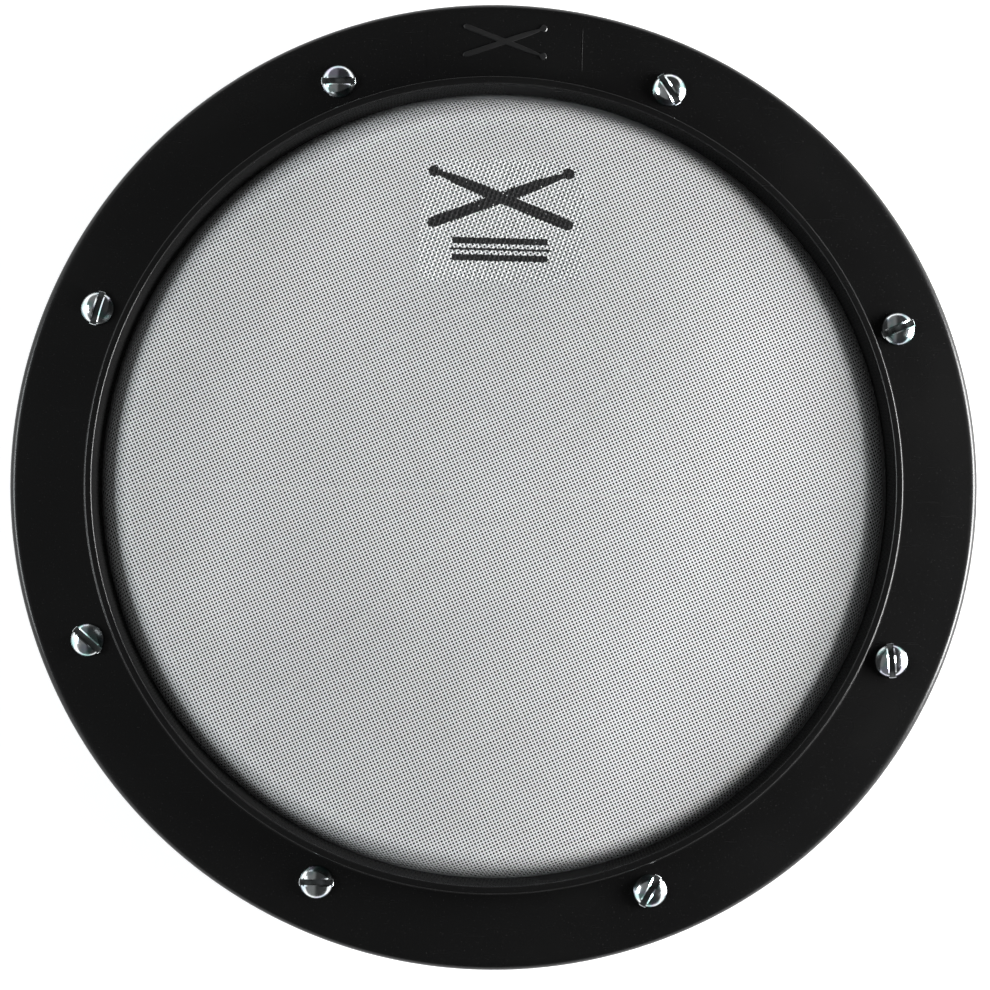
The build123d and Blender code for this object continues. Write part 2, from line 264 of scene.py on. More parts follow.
def tidy_normals(obj, sharp_deg):
    """Merges doubled points, turns faces outwards and marks sharp edges."""
    work = bmesh.new()
    work.from_mesh(obj.data)
    bmesh.ops.remove_doubles(work, verts=work.verts, dist=1e-7)
    bmesh.ops.recalc_face_normals(work, faces=work.faces)
    for face in work.faces:
        face.smooth = True
    work.to_mesh(obj.data)
    work.free()
    obj.data.set_sharp_from_angle(angle=math.radians(sharp_deg))


def prism(name, outline, low, high, upper=None):
    """A prism from an outline of (x, y), leaning to another outline where one is given."""
    count = len(outline)
    verts = [(x * MM, y * MM, low * MM) for x, y in outline]
    verts += [(x * MM, y * MM, high * MM) for x, y in upper or outline]
    mesh = bpy.data.meshes.new(name)
    sides = [(k, (k + 1) % count, count + (k + 1) % count, count + k) for k in range(count)]
    mesh.from_pydata(verts, [], [tuple(range(count))[::-1], tuple(range(count, 2 * count))] + sides)
    return add_object(name, mesh)


def circle(radius, centre=(0.0, 0.0), count=48):
    """An outline of count points round a centre."""
    turn = 2 * math.pi / count
    x, y = centre
    return [(x + radius * math.cos(k * turn), y + radius * math.sin(k * turn)) for k in range(count)]


def carve(obj, tools, operation, sharp_deg):
    """Joins the tools into one mesh, applies them to obj as a boolean, and closes any slit that is left."""
    work = bmesh.new()
    for tool in tools:
        work.from_mesh(tool.data)
    mesh = bpy.data.meshes.new("tool")
    work.to_mesh(mesh)
    work.free()
    tool = add_object("tool", mesh)
    modifier = obj.modifiers.new("cut", "BOOLEAN")
    modifier.operation = operation
    modifier.solver = "EXACT"
    modifier.object = tool
    graph = bpy.context.evaluated_depsgraph_get()
    result = bpy.data.meshes.new_from_object(obj.evaluated_get(graph), depsgraph=graph)
    obj.modifiers.clear()
    obj.data = result
    for old in [tool, *tools]:
        bpy.data.objects.remove(old)
    work = bmesh.new()
    work.from_mesh(result)
    slits = [edge for edge in work.edges if edge.is_boundary]
    if slits:
        bmesh.ops.holes_fill(work, edges=slits, sides=0)
        work.to_mesh(result)
    work.free()
    for polygon in obj.data.polygons:
        polygon.use_smooth = True
    obj.data.set_sharp_from_angle(angle=math.radians(sharp_deg))


# ---------------------------------------------------------------- node helpers
class Tree:
    """A short way to write a node tree."""

    def __init__(self, owner):
        owner.use_nodes = True
        self.nodes = owner.node_tree.nodes
        self.links = owner.node_tree.links
        self.nodes.clear()

    def put(self, node, socket, value):
        """Links an output to a socket, or sets the socket to a constant."""
        if isinstance(value, bpy.types.NodeSocket):
            self.links.new(value, node.inputs[socket])
        else:
            node.inputs[socket].default_value = value

    def ramp(self, value, low, high, out_low=0.0, out_high=1.0, kind="SMOOTHSTEP"):
        """Carries a value from one range to another, and stops at its ends."""
        node = self.nodes.new("ShaderNodeMapRange")
        node.interpolation_type = kind
        sockets = ("Value", "From Min", "From Max", "To Min", "To Max")
        for socket, setting in zip(sockets, (value, low, high, out_low, out_high)):
            self.put(node, socket, setting)
        return node.outputs["Result"]

    def math(self, operation, a, b):
        node = self.nodes.new("ShaderNodeMath")
        node.operation = operation
        self.put(node, 0, a)
        self.put(node, 1, b)
        return node.outputs[0]


class Nodes(Tree):
    """A material with one principled shader, patterned in the object's own coordinates."""

    def __init__(self, name):
        self.material = bpy.data.materials.new(name)
        super().__init__(self.material)
        output = self.nodes.new("ShaderNodeOutputMaterial")
        self.shader = self.nodes.new("ShaderNodeBsdfPrincipled")
        self.links.new(self.shader.outputs[0], output.inputs[0])
        self.place = self.nodes.new("ShaderNodeTexCoord").outputs["Object"]

    def set(self, **values):
        """Constant values of the shader, by socket name with _ for a space."""
        for name, value in values.items():
            self.shader.inputs[name.replace("_", " ")].default_value = value

    def stretch(self, scale, rotation=(0, 0, 0)):
        """The coordinates, stretched and turned."""
        node = self.nodes.new("ShaderNodeMapping")
        self.put(node, "Vector", self.place)
        self.put(node, "Scale", scale)
        self.put(node, "Rotation", rotation)
        return node.outputs[0]

    def noise(self, scale, detail=2.0, rough=0.5, where=None, distortion=0.0):
        """A cloudy pattern; scale is in waves to the metre."""
        node = self.nodes.new("ShaderNodeTexNoise")
        self.put(node, "Vector", self.place if where is None else where)
        self.put(node, "Scale", scale)
        self.put(node, "Detail", detail)
        self.put(node, "Roughness", rough)
        self.put(node, "Distortion", distortion)
        return node.outputs["Fac"]

    def mix(self, share, a, b):
        """A blend of two colours, each a node's output or a plain (r, g, b)."""
        node = self.nodes.new("ShaderNodeMix")
        node.data_type = "RGBA"
        self.put(node, "Factor", share)
        for index, value in ((6, a), (7, b)):
            self.put(node, index, value if isinstance(value, bpy.types.NodeSocket) else (*value, 1.0))
        return node.outputs[2]

    def bump(self, height, strength, distance):
        """Fine relief from a pattern, distance in metres."""
        node = self.nodes.new("ShaderNodeBump")
        self.put(node, "Height", height)
        self.put(node, "Strength", strength)
        self.put(node, "Distance", distance)
        self.put(self.shader, "Normal", node.outputs[0])

    def colour(self, value):
        self.put(self.shader, "Base Color", value)

    def roughness(self, pattern, low, high):
        """Lets the roughness wander between two values with a pattern."""
        self.put(self.shader, "Roughness", self.ramp(pattern, 0.3, 0.7, low, high))


# ---------------------------------------------------------------- materials
def ring_plastic():
    """Satin black moulding, a little uneven in gloss, with fine scuffs and dust."""
    n = Nodes("ring_plastic")
    cloud = n.noise(28.0, 3.0)
    speck = n.ramp(n.noise(2600.0, 1.0), 0.70, 0.78)
    scuff = n.ramp(n.noise(90.0, 4.0, 0.7, n.stretch((1.0, 9.0, 9.0), (0, 0, 0.6))), 0.60, 0.74)
    base = n.mix(cloud, (0.0046, 0.0046, 0.0047), (0.0066, 0.0066, 0.0066))
    base = n.mix(n.math("MULTIPLY", speck, 0.25), base, (0.09, 0.088, 0.085))
    n.colour(n.mix(n.math("MULTIPLY", scuff, 0.03), base, (0.05, 0.05, 0.05)))
    gloss = n.ramp(cloud, 0.3, 0.7, 0.235, 0.285)
    n.put(n.shader, "Roughness", n.math("ADD", gloss, n.math("MULTIPLY", scuff, 0.04)))
    n.set(IOR=1.5, Specular_IOR_Level=0.3)
    n.bump(n.noise(1500.0, 2.0), 0.10, 0.00008)
    return n.material


def lightened_relief_plastic():
    """The same black plastic, rougher on the raised sticks, and painted lighter there as if the sticks
    caught more light.
    """
    n = Nodes("ring_relief_painted_light")
    n.colour(n.mix(n.noise(60.0, 2.0), (0.0095, 0.0095, 0.0098), (0.0135, 0.0135, 0.0135)))
    n.roughness(n.noise(500.0, 2.0), 0.34, 0.42)
    n.set(IOR=1.5, Specular_IOR_Level=0.5)
    n.bump(n.noise(1500.0, 2.0), 0.10, 0.00008)
    return n.material


def base_plastic():
    """Black plastic with a spark-eroded mould texture."""
    n = Nodes("base_plastic")
    cloud = n.noise(22.0, 3.0)
    n.colour(n.mix(cloud, (0.010, 0.010, 0.0105), (0.017, 0.017, 0.0172)))
    n.roughness(n.noise(300.0, 2.0), 0.48, 0.62)
    n.set(IOR=1.53, Specular_IOR_Level=0.5)
    n.bump(n.noise(1100.0, 3.0, 0.6), 0.35, 0.00012)
    return n.material


def thread(name, low, high, rough):
    """Polyester monofilament, a little uneven in whiteness."""
    n = Nodes(name)
    n.colour(n.mix(n.noise(60.0, 3.0), low, high))
    n.roughness(n.noise(900.0, 1.0), rough - 0.05, rough + 0.05)
    n.set(IOR=1.57, Specular_IOR_Level=0.5, Sheen_Weight=0.06, Sheen_Roughness=0.4)
    n.bump(n.noise(5000.0, 1.0), 0.12, 0.00002)
    return n.material


def zinc(name, rough, tint, light=1.0):
    """Bright zinc plate: bluish white metal with faint passivation colours and fine tool marks."""
    n = Nodes(name)
    film = n.ramp(n.noise(190.0, 2.0, distortion=0.8), 0.38, 0.62)
    patch = n.ramp(n.noise(330.0, 1.0), 0.42, 0.60)
    # light scales every colour down; the slot's copy uses it to paint shade.
    green, violet, plain = (
        tuple(part * light for part in colour)
        for colour in ((0.34, 0.66, 0.62), (0.60, 0.56, 0.74), (0.80, 0.84, 0.85))
    )
    n.colour(n.mix(n.math("MULTIPLY", patch, tint), plain, n.mix(film, green, violet)))
    n.roughness(n.noise(700.0, 3.0), rough * 0.7, rough * 1.4)
    n.set(Metallic=1.0)
    n.bump(n.noise(1600.0, 3.0, 0.6), 0.12, 0.00004)
    return n.material


def aluminium():
    """Drawn aluminium, with a fine grain that runs level round the hoop."""
    n = Nodes("hoop_aluminium")
    grain = n.noise(400.0, 3.0, 0.6, n.stretch((1.0, 1.0, 14.0)))
    n.colour(n.mix(grain, (0.70, 0.71, 0.72), (0.80, 0.80, 0.81)))
    n.roughness(grain, 0.28, 0.42)
    n.set(Metallic=1.0)
    n.bump(grain, 0.12, 0.00003)
    return n.material


def resin():
    """Amber casting resin, glossy and a little cloudy."""
    n = Nodes("cast_resin")
    n.colour(n.mix(n.noise(150.0, 3.0), (0.30, 0.24, 0.15), (0.46, 0.38, 0.26)))
    n.roughness(n.noise(80.0, 2.0), 0.22, 0.36)
    n.set(IOR=1.55)
    n.bump(n.noise(260.0, 2.0), 0.2, 0.0001)
    return n.material


def brass():
    """Turned brass with a few darker stains."""
    n = Nodes("insert_brass")
    stain = n.ramp(n.noise(240.0, 3.0), 0.4, 0.75)
    n.colour(n.mix(stain, (0.78, 0.58, 0.27), (0.55, 0.38, 0.17)))
    n.roughness(n.noise(900.0, 2.0), 0.20, 0.34)
    n.set(Metallic=1.0)
    n.bump(n.noise(2200.0, 2.0), 0.10, 0.00003)
    return n.material


def rubber():
    """Dull black rubber, dusty in places."""
    n = Nodes("foot_rubber")
    dust = n.ramp(n.noise(120.0, 4.0, 0.65), 0.5, 0.8)
    n.colour(n.mix(n.math("MULTIPLY", dust, 0.5), (0.022, 0.022, 0.022), (0.06, 0.058, 0.055)))
    n.roughness(n.noise(500.0, 2.0), 0.72, 0.88)
    n.set(IOR=1.5, Specular_IOR_Level=0.35)
    n.bump(n.noise(1400.0, 3.0, 0.6), 0.3, 0.00008)
    return n.material


MATERIALS = {
    "abs_ring": ring_plastic(),
    "abs_base": base_plastic(),
    "mesh": thread("mesh_white", (0.80, 0.81, 0.82), (0.87, 0.88, 0.885), 0.5),
    "screw_steel": zinc("screw_zinc", 0.13, 0.75),
    "nut_steel": zinc("nut_zinc", 0.26, 0.35),
    "hoop_metal": aluminium(),
    "resin": resin(),
    "insert_brass": brass(),
    "foot_rubber": rubber(),
}
# The slot's zinc is rougher, as sawn metal is. Its colour is darkened to a fifth, which is painted shade in
# the slot.
SLOT_SHADE_ZINC = zinc("slot_zinc_painted_shade", 0.36, 0.2, 0.22)
RELIEF = lightened_relief_plastic()
INK = thread("mesh_ink", (0.010, 0.010, 0.011), (0.018, 0.018, 0.019), 0.45)


def dress(obj, slot):
    """Gives a new piece the material kept under a slot's key."""
    obj.data.materials.clear()
    obj.data.materials.append(MATERIALS[slot])


# ---------------------------------------------------------------- woven mesh head
SECTION_ROUND = EDGE_R + CLOTH_LIFT
ARC_LENGTH = SECTION_ROUND * COLLAR_SLOPE
LEAVE_Z = EDGE_CENTRE_Z + SECTION_ROUND * math.cos(COLLAR_SLOPE)
SLOPE_LENGTH = (LEAVE_Z - COLLAR_END_Z) / math.sin(COLLAR_SLOPE)


def laid_over_edge(u, v, height):
    """Where a point of the flat cloth, in millimetres, lies once the cloth is stretched over the base."""
    flat = np.hypot(u, v)
    out = np.maximum(flat - EDGE_CENTRE_R, 0.0)
    on_arc = np.minimum(out, ARC_LENGTH) / SECTION_ROUND
    on_slope = np.clip(out - ARC_LENGTH, 0.0, SLOPE_LENGTH)
    in_channel = np.maximum(out - ARC_LENGTH - SLOPE_LENGTH, 0.0)
    lean = np.where(in_channel > 0, math.pi / 2, on_arc)
    radius = np.minimum(flat, EDGE_CENTRE_R) + SECTION_ROUND * np.sin(on_arc)
    radius = radius + on_slope * math.cos(COLLAR_SLOPE) + height * np.sin(lean)
    z = EDGE_CENTRE_Z + SECTION_ROUND * np.cos(on_arc) - on_slope * math.sin(COLLAR_SLOPE)
    z = z - in_channel + height * np.cos(lean)
    share = radius / np.maximum(flat, 1e-6)
    return np.stack((u * share, v * share, z), -1)


def heading(angle_deg):
    """The unit vector (x, y) at an angle from the X axis."""
    return np.array((math.cos(math.radians(angle_deg)), math.sin(math.radians(angle_deg))))


def threads_one_way(along_deg, parity, jitter):
    """The ribbons of one thread direction: vertices, faces and each face's middle on the flat cloth.

    A ribbon has one point at each crossing, and MARK_FINENESS points round the printed mark.
    """
    along = heading(along_deg)
    across = heading(along_deg + 90.0)
    reach = int(CLOTH_R / PITCH)
    verts, faces, middles = [], [], []
    start = 0
    for index in range(-reach, reach + 1):
        half = int(math.sqrt(CLOTH_R**2 - (index * PITCH) ** 2) / PITCH)
        steps = np.arange(-half * MARK_FINENESS, half * MARK_FINENESS + 1) / MARK_FINENESS
        place = steps[:, None] * PITCH * along + index * PITCH * across
        by_mark = (np.abs(place[:, 0]) < MARK_HALF[0]) & (np.abs(place[:, 1] - MARK_CENTRE_Y) < MARK_HALF[1])
        steps = steps[by_mark | (steps == np.round(steps))]
        drift = jitter.normal(0.0, THREAD_DRIFT)
        bow = THREAD_BOW * np.sin(steps * BOW_RATE + jitter.uniform(0, 6.28))
        centre = steps[:, None] * PITCH * along + (index * PITCH + drift + bow)[:, None] * across
        rise = WEAVE_RISE * np.cos(math.pi * (steps + index + parity))
        rows = []
        for offset, drop in ((-THREAD_W / 2, THREAD_ROUND), (0.0, 0.0), (THREAD_W / 2, THREAD_ROUND)):
            point = centre + offset * across
            rows.append(laid_over_edge(point[:, 0], point[:, 1], rise - drop))
        verts.append(np.stack(rows, 1).reshape(-1, 3))
        row = start + np.arange(len(steps) - 1) * 3
        middle = (centre[:-1] + centre[1:]) / 2
        for lane in (0, 1):
            faces.append(np.stack((row + lane, row + lane + 3, row + lane + 4, row + lane + 1), -1))
            middles.append(middle + (lane - 0.5) * THREAD_W / 2 * across)
        start += len(steps) * 3
    return np.concatenate(verts), np.concatenate(faces), np.concatenate(middles)


def stick_outline(length, shaft, bead):
    """Half widths of a drumstick along its length, from the butt to the bead, as (s, half width)."""
    end = length / 2
    return (
        (-end, 0.3 * shaft), (-end + 0.02 * length, 0.85 * shaft), (-end + 0.05 * length, shaft),
        (0.16 * length, shaft), (0.30 * length, 0.85 * shaft), (0.42 * length, 0.50 * shaft),
        (0.435 * length, 0.62 * bead), (0.45 * length, 0.92 * bead), (0.465 * length, bead),
        (0.48 * length, 0.86 * bead), (end, 0.35 * bead),
    )


def stick_mark(x, y, lean_deg):
    """Whether a point lies on one printed drumstick, which leans across the middle of the mark."""
    lean = math.radians(lean_deg)
    s = x * math.cos(lean) + y * math.sin(lean)
    t = np.abs(-x * math.sin(lean) + y * math.cos(lean))
    places, widths = zip(*stick_outline(*PRINTED_STICK))
    return t <= np.interp(s, places, widths, left=-1.0, right=-1.0)


def printed(x, y):
    """The generic mark printed on the mesh: two crossed drumsticks over plain bars."""
    sticks = [stick_mark(side * x, y - PRINTED_STICKS_Y, PRINTED_LEAN_DEG) for side in (1, -1)]
    from_rule = np.abs(y - BARS_Y)
    bars = (np.abs(x) < BAR_HALF[0]) & (np.abs(from_rule - BAR_OFFSET) < BAR_HALF[1])
    rule = (np.abs(x) < RULE_HALF[0]) & (from_rule < RULE_HALF[1])
    return sticks[0] | sticks[1] | bars | rule


def woven_head():
    """The mesh head: every thread of a plain weave, as one sheet."""
    warp_verts, warp_faces, warp_middles = threads_one_way(WARP_DEG, 0, rng)
    weft_verts, weft_faces, weft_middles = threads_one_way(WEFT_DEG, 1, rng)
    verts = np.concatenate((warp_verts, weft_verts))
    faces = np.concatenate((warp_faces, weft_faces + len(warp_verts)))
    middles = np.concatenate((warp_middles, weft_middles))
    obj = add_mesh("woven_head", verts * MM, faces)
    dress(obj, "mesh")
    obj.data.materials.append(INK)
    inked = printed(middles[:, 0], middles[:, 1]) & (rng.random(len(middles)) > INK_MISSES)
    obj.data.polygons.foreach_set("material_index", inked.astype(np.int32))
    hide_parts("mesh_head", "mesh_collar")
    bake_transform(obj)


# ---------------------------------------------------------------- counterhoop
def place_of(n):
    """A screw's axis, seen from above."""
    low, high = SCREW_BOXES[n]
    return (low.x + high.x) / 2 / MM, (low.y + high.y) / 2 / MM


def counterhoop():
    """The black ring: raised lip, flat flange, screw bosses and ribs under it, and the moulded sticks."""
    ring = lathe("counterhoop_ring", rounded(RING_SECTION, 5), RING_SEGMENTS, sharp_deg=RING_SHARP_DEG)
    carve(ring, [boss(*place_of(n)) for n in range(SCREW_COUNT)], "UNION", RING_SHARP_DEG)
    for step in range(3 * SCREW_COUNT):
        if step % 3:
            carve(ring, [rib(SCREW_START_DEG + step * RIB_STEP_DEG)], "UNION", RING_SHARP_DEG)
    for lean_deg in (-EMBLEM_LEAN_DEG, EMBLEM_LEAN_DEG):
        carve(ring, [relief_stick(lean_deg)], "UNION", RING_SHARP_DEG)
    carve(ring, [mould_line(*line) for line in MOULD_LINES], "UNION", RING_SHARP_DEG)
    holes = [prism("hole", circle(SCREW_HOLE_R, place_of(n), 40), *SCREW_HOLE_Z) for n in range(SCREW_COUNT)]
    carve(ring, holes, "DIFFERENCE", RING_SHARP_DEG)
    dress(ring, "abs_ring")
    ring.data.materials.append(RELIEF)
    # The raised sticks take the lighter plastic, whose colour is painted light.
    for polygon in ring.data.polygons:
        x, y, z = polygon.center / MM
        by_emblem = abs(x) < EMBLEM_HALF[0] and abs(y - EMBLEM_Y) < EMBLEM_HALF[1]
        polygon.material_index = int(z > FLANGE_TOP_Z + 0.01 and by_emblem)
    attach(ring, "ring")
    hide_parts("counterhoop")


def boss(x, y):
    """The thickening round a screw's hole, cut off short of the flesh hoop."""
    outline = [point for point in circle(BOSS_R, (x, y), 64) if math.hypot(*point) > BOSS_INNER_R]
    return prism("boss", outline, *BOSS_Z)


def rib(heading_deg):
    """A thin radial stiffener under the flange, its lower edge falling outward."""
    obj = prism("rib", RIB_PROFILE, -RIB_HALF_W, RIB_HALF_W)
    c, s = heading(heading_deg)
    obj.data.transform(Matrix(((c, 0, s, 0), (s, 0, -c, 0), (0, 1, 0, 0), (0, 0, 0, 1))))
    return obj


def relief_stick(lean_deg):
    """One moulded drumstick that stands a little proud of the flange, its sides sloping."""
    c, s = heading(lean_deg)
    half = stick_outline(*RELIEF_STICK)

    def outline(inset):
        line = [(along * (1 - inset / (RELIEF_STICK[0] / 2)), width - inset) for along, width in half]
        line = [(along, -width) for along, width in line] + line[::-1]
        return [(along * c - out * s, EMBLEM_Y + along * s + out * c) for along, out in line]

    root_z, top_z = FLANGE_TOP_Z - RELIEF_ROOT, FLANGE_TOP_Z + RELIEF_H
    return prism("stick", outline(0.0), root_z, top_z, outline(RELIEF_TAPER))


def mould_line(x, half_width, height):
    """A hair-thin straight ridge, as the joint of a mould leaves it."""
    low_y, high_y = MOULD_LINE_Y
    root, crest = (
        [(x - half, low_y), (x + half, low_y), (x + half, high_y), (x - half, high_y)]
        for half in (half_width, MOULD_LINE_CREST)
    )
    return prism("mould_line", root, FLANGE_TOP_Z - MOULD_LINE_ROOT, FLANGE_TOP_Z + height, crest)


# ---------------------------------------------------------------- screws and nuts
def threaded_rod(name, major, minor, pitch, low, high, tip, columns=36):
    """A watertight threaded rod from low to high, whose rings of points follow the thread's helix."""
    crest_and_root = ((0.0, major), (0.10, major), (0.45, minor), (0.60, minor))
    turns = int((high - low) / pitch) + 2
    rings = [
        (low - pitch + (turn + share) * pitch, r) for turn in range(turns + 1) for share, r in crest_and_root
    ]
    z0 = np.array([ring[0] for ring in rings])
    r0 = np.array([ring[1] for ring in rings])
    angle = np.arange(columns + 1) * 2 * math.pi / columns
    z = z0[None, :] + pitch * angle[:, None] / (2 * math.pi)
    r = np.repeat(r0[None, :], columns + 1, 0)
    r = np.minimum(r, tip + (z - low))
    r = np.where(z <= low, tip, np.where(z >= high, minor, r))
    z = np.clip(z, low, high)
    grid = np.stack((r * np.cos(angle)[:, None], r * np.sin(angle)[:, None], z), -1)
    count = len(rings)
    verts = np.concatenate((grid.reshape(-1, 3), [(0, 0, low), (0, 0, high)])) * MM
    column, ring = np.meshgrid(np.arange(columns), np.arange(count - 1), indexing="ij")
    at = (column * count + ring).ravel()
    quads = np.stack((at, at + count, at + count + 1, at + 1), -1)
    obj = add_mesh(name, verts, quads)
    work = bmesh.new()
    work.from_mesh(obj.data)
    bmesh.ops.remove_doubles(work, verts=work.verts, dist=2e-6)
    bmesh.ops.dissolve_degenerate(work, dist=1e-7, edges=work.edges)
    loose = [v for v in work.verts if not v.link_faces]
    bmesh.ops.delete(work, geom=loose, context="VERTS")
    open_edges = [e for e in work.edges if e.is_boundary]
    bmesh.ops.holes_fill(work, edges=open_edges, sides=0)
    bmesh.ops.recalc_face_normals(work, faces=work.faces)
    work.to_mesh(obj.data)
    work.free()
    return obj


def slot_cutter(ball):
    """What the saw takes out of a head: a straight slot along X whose edges are broken along the dome."""
    half = SLOT_W / 2
    wide = half + SLOT_CHAMFER
    above = 5.0
    verts, faces = [], []
    places = np.linspace(-SLOT_REACH, SLOT_REACH, SLOT_STATIONS)

    def dome(x, y):
        inside = min(math.hypot(x, y), SCREW_HEAD_R)
        return SCREW_HEAD_H - ball + math.sqrt(ball**2 - inside**2)

    for x in places:
        edge = max(dome(x, half) - SLOT_CHAMFER * math.tan(SLOT_CHAMFER_LEAN), SLOT_FLOOR_Z + 0.05)
        lip = max(dome(x, wide) + 0.004, edge + 0.02)
        side = [(wide, above), (wide, lip), (half, edge), (half, SLOT_FLOOR_Z)]
        verts += [(x * MM, -y * MM, z * MM) for y, z in side]
        verts += [(x * MM, y * MM, z * MM) for y, z in reversed(side)]
    around = 2 * len(side)
    for start in range(0, (SLOT_STATIONS - 1) * around, around):
        for k in range(around):
            after = (k + 1) % around
            faces.append((start + k, start + after, start + around + after, start + around + k))
    faces += [tuple(range(around))[::-1], tuple(range((SLOT_STATIONS - 1) * around, SLOT_STATIONS * around))]
    mesh = bpy.data.meshes.new("slot")
    mesh.from_pydata(verts, [], faces)
    obj = add_object("slot", mesh)
    tidy_normals(obj, 30.0)
    return obj


def burrs():
    """The metal that the saw pushes out at its slot's ends, each in a straight and a sloping layer."""
    foot_z, bend_z, top_z = BURR_Z
    for side in (0.0, math.pi):
        turns = [side + k * BURR_STEP for k in range(-BURR_STEPS, BURR_STEPS + 1)]
        edge, eased, inner = (
            [(math.cos(turn) * r, math.sin(turn) * r) for turn in turns]
            for r in (SCREW_HEAD_R + BURR, SCREW_HEAD_R + BURR - BURR_EASE, SCREW_HEAD_R - BURR_ROOT)
        )
        inner.reverse()
        yield prism("burr", edge + inner, foot_z, bend_z)
        yield prism("burr", edge + inner, bend_z, top_z, eased + inner)


def screw_mesh():
    """A slotted round-head screw, its slot along X, with its seat at the origin."""
    cap = SCREW_HEAD_H - SCREW_HEAD_RIM
    ball = (SCREW_HEAD_R**2 + cap**2) / (2 * cap)
    reach = math.asin(SCREW_HEAD_R / ball)
    chamfer_w, chamfer_h = SCREW_SEAT_CHAMFER
    section = [
        (0.0, 0.0), (SCREW_HEAD_R - chamfer_w, 0.0), (SCREW_HEAD_R, chamfer_h),
        (SCREW_HEAD_R, SCREW_HEAD_RIM - 0.1), (SCREW_HEAD_R - 0.03, SCREW_HEAD_RIM - 0.02),
    ]
    steps = 16
    for step in range(1, steps + 1):
        lean = reach * (1 - step / steps)
        section.append((ball * math.sin(lean), SCREW_HEAD_H - ball + ball * math.cos(lean)))
    head = lathe("screw_head", section, 96, closed=False, sharp_deg=50.0)
    for burr in burrs():
        carve(head, [burr], "UNION", 50.0)
    carve(head, [slot_cutter(ball)], "DIFFERENCE", 24.0)
    rod = threaded_rod("rod", SCREW_R, SCREW_MINOR_R, SCREW_PITCH, -SCREW_LENGTH, 0.5, SCREW_TIP_R)
    carve(head, [rod], "UNION", 24.0)
    mesh = head.data
    bpy.data.objects.remove(head)
    # The slot's floor and walls take the second material, whose dark colour is painted shade.
    slot_shaded = np.zeros(len(mesh.polygons), np.int32)
    for polygon in mesh.polygons:
        middle = polygon.center / MM
        flat_floor = polygon.normal.z > 0.95 and abs(middle.z - SLOT_FLOOR_Z) < 0.03
        wall = abs(polygon.normal.y) > 0.95 and middle.z > 0.5 and abs(middle.y) < SLOT_W / 2 + 0.02
        slot_shaded[polygon.index] = flat_floor or wall
    mesh.polygons.foreach_set("material_index", slot_shaded)
    return mesh


def screws():
    """Eight screws, each turned as the slots happen to stand."""
    mesh = screw_mesh()
    for n in range(SCREW_COUNT):
        x, y = place_of(n)
        obj = add_object(f"slotted_screw_{n + 1}", mesh.copy())
        turn = Matrix.Rotation(math.radians(SLOT_ANGLES[n]), 4, "Z")
        obj.data.transform(Matrix.Translation((x * MM, y * MM, FLANGE_TOP_Z * MM)) @ turn)
        # The slot's faces keep the darkened zinc, which is painted shade, in the second material slot.
        slot_shaded = np.zeros(len(obj.data.polygons), np.int32)
        obj.data.polygons.foreach_get("material_index", slot_shaded)
        dress(obj, "screw_steel")
        obj.data.polygons.foreach_set("material_index", slot_shaded)
        obj.data.materials.append(SLOT_SHADE_ZINC)
        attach(obj, f"tension_screw_{n + 1}")
        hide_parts(f"tension_screw_{n + 1}")


def nut_shape(r, z, a):
    """Bends a nut's round outer rings to six flats and sinks its rim along the corner chamfers."""
    to_flat = (a + math.pi / 6) % (math.pi / 3) - math.pi / 6
    hexagon = NUT_FLATS / 2 / np.cos(math.pi / 6 - np.abs(to_flat))
    outer = r > NUT_CHAMFER_R + 0.01
    sink = (hexagon - NUT_CHAMFER_R) * math.tan(NUT_CHAMFER_LEAN)
    z = np.where(outer, np.where(z > NUT_H / 2, z - sink, z + sink), z)
    return np.where(outer, hexagon, r), z


def nuts():
    """Chamfered hexagon nuts in the base's pockets, with plain bores."""
    section = [
        (NUT_BORE_R, NUT_SINK_H), (NUT_BORE_R, NUT_H - NUT_SINK_H), (NUT_SINK_R, NUT_H),
        (NUT_CHAMFER_R, NUT_H), (NUT_BODY_R, NUT_H), (NUT_BODY_R, 0.0), (NUT_CHAMFER_R, 0.0),
        (NUT_SINK_R, 0.0),
    ]
    for n in range(SCREW_COUNT):
        x, y = (part * MM for part in place_of(n))
        low, _ = NUT_BOXES[n]
        obj = lathe(f"zinc_nut_{n + 1}", section, 96, shape=nut_shape, sharp_deg=25.0)
        points = [vertex.co for vertex in NODES[f"hex_nut_{n + 1}"].data.vertices]
        corner = max(points, key=lambda point: math.dist(point[:2], (x, y)))
        turn = Matrix.Rotation(math.atan2(corner.y - y, corner.x - x), 4, "Z")
        obj.data.transform(Matrix.Translation((x, y, low.z)) @ turn)
        dress(obj, "nut_steel")
        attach(obj, "base")
        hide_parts(f"hex_nut_{n + 1}")


# ---------------------------------------------------------------- insert and foot
def knurl(r, z, a):
    """Cuts fine crossed grooves round the insert's two bands."""
    in_bands = np.zeros(z.shape, bool)
    for low, high in KNURL_BANDS:
        in_bands |= (z > low) & (z < high)
    left, right = (np.abs(np.sin(a * KNURL_TEETH + z * twist)) for twist in (KNURL_TWIST, -KNURL_TWIST))
    cut = KNURL_DEPTH * (1 - np.maximum(left, right))
    return np.where((r > INSERT_R - 0.18) & in_bands, r - cut, r), z


def insert():
    """The knurled brass insert, threaded for a stand."""
    low, high = INSERT_Z
    section = [(0.0, low), (INSERT_R - 0.28, low)]
    section += [(INSERT_R, low + KNURL_STEP * k) for k in range(1, 55)]
    section += [(INSERT_R, high - 0.2), (INSERT_R - 0.18, high), (0.0, high)]
    obj = lathe("threaded_insert", section, 8 * KNURL_TEETH, shape=knurl, sharp_deg=50.0)
    tap = threaded_rod("tap", TAP_R, TAP_MINOR_R, TAP_PITCH, *TAP_Z, TAP_R, 48)
    lead = prism("lead", circle(LEAD_R), *LEAD_Z)
    carve(obj, [tap], "DIFFERENCE", 35.0)
    carve(obj, [lead], "DIFFERENCE", 35.0)
    dress(obj, "insert_brass")
    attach(obj, "base")
    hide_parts("stand_insert")


